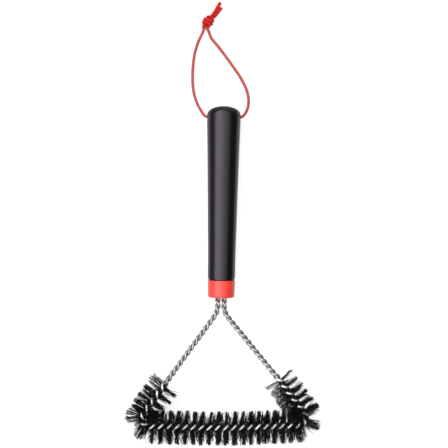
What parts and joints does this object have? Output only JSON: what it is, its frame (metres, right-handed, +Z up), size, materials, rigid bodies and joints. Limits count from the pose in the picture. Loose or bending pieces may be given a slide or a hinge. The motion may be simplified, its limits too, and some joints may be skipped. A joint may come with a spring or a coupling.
{
  "type": "grill cleaning brush",
  "caption": "Long-handled grill cleaning brush with a triangular twisted-wire head bristled along its base and sides, a tapered handle with a contrasting collar, and a knotted hanging cord",
  "frame": {"origin": "middle of the outline of the brush without its cord, on the surface that it lies on", "axes": "+Z up from that surface; +Y along the handle axis from the head towards the hanging end; +X to the right when the brush is seen from above with the hanging end away"},
  "size_m": [0.1769, 0.4058, 0.0311],
  "materials": {
    "handle_plastic": "satin moulded plastic, black",
    "collar_plastic": "satin moulded plastic, coral red",
    "galvanised_wire": "drawn galvanised steel wire, satin grey",
    "bristle": "black nylon filaments",
    "elastic_cord": "braided elastic cord, red"
  },
  "bodies": {
    "brush": {"handle": "handle_plastic", "collar": "collar_plastic", "core_wire_a": "galvanised_wire", "core_wire_b": "galvanised_wire", "bristle_tuft_01": "bristle", "bristle_tuft_02": "bristle", "bristle_tuft_03": "bristle", "bristle_tuft_04": "bristle", "bristle_tuft_05": "bristle", "bristle_tuft_06": "bristle", "bristle_tuft_07": "bristle", "bristle_tuft_08": "bristle", "bristle_tuft_09": "bristle", "bristle_tuft_10": "bristle", "bristle_tuft_11": "bristle", "bristle_tuft_12": "bristle", "bristle_tuft_13": "bristle", "bristle_tuft_14": "bristle", "bristle_tuft_15": "bristle", "bristle_tuft_16": "bristle", "bristle_tuft_17": "bristle", "bristle_tuft_18": "bristle", "bristle_tuft_19": "bristle", "bristle_tuft_20": "bristle", "bristle_tuft_21": "bristle", "bristle_tuft_22": "bristle", "bristle_tuft_23": "bristle", "bristle_tuft_24": "bristle", "bristle_tuft_25": "bristle", "bristle_tuft_26": "bristle", "bristle_tuft_27": "bristle", "bristle_tuft_28": "bristle", "bristle_tuft_29": "bristle", "bristle_tuft_30": "bristle", "bristle_tuft_31": "bristle", "bristle_tuft_32": "bristle"},
    "hang_loop": {"hang_cord": "elastic_cord", "hang_cord_knot": "elastic_cord", "hang_cord_end_a": "elastic_cord", "hang_cord_end_b": "elastic_cord"}
  },
  "joints": [
    {"name": "hang_loop_swing", "type": "hinge", "parent": "brush", "child": "hang_loop", "pos_m": [-0.0033, 0.144, 0.0154], "axis": [1, 0, 0], "range_deg": [0, 150]}
  ]
}
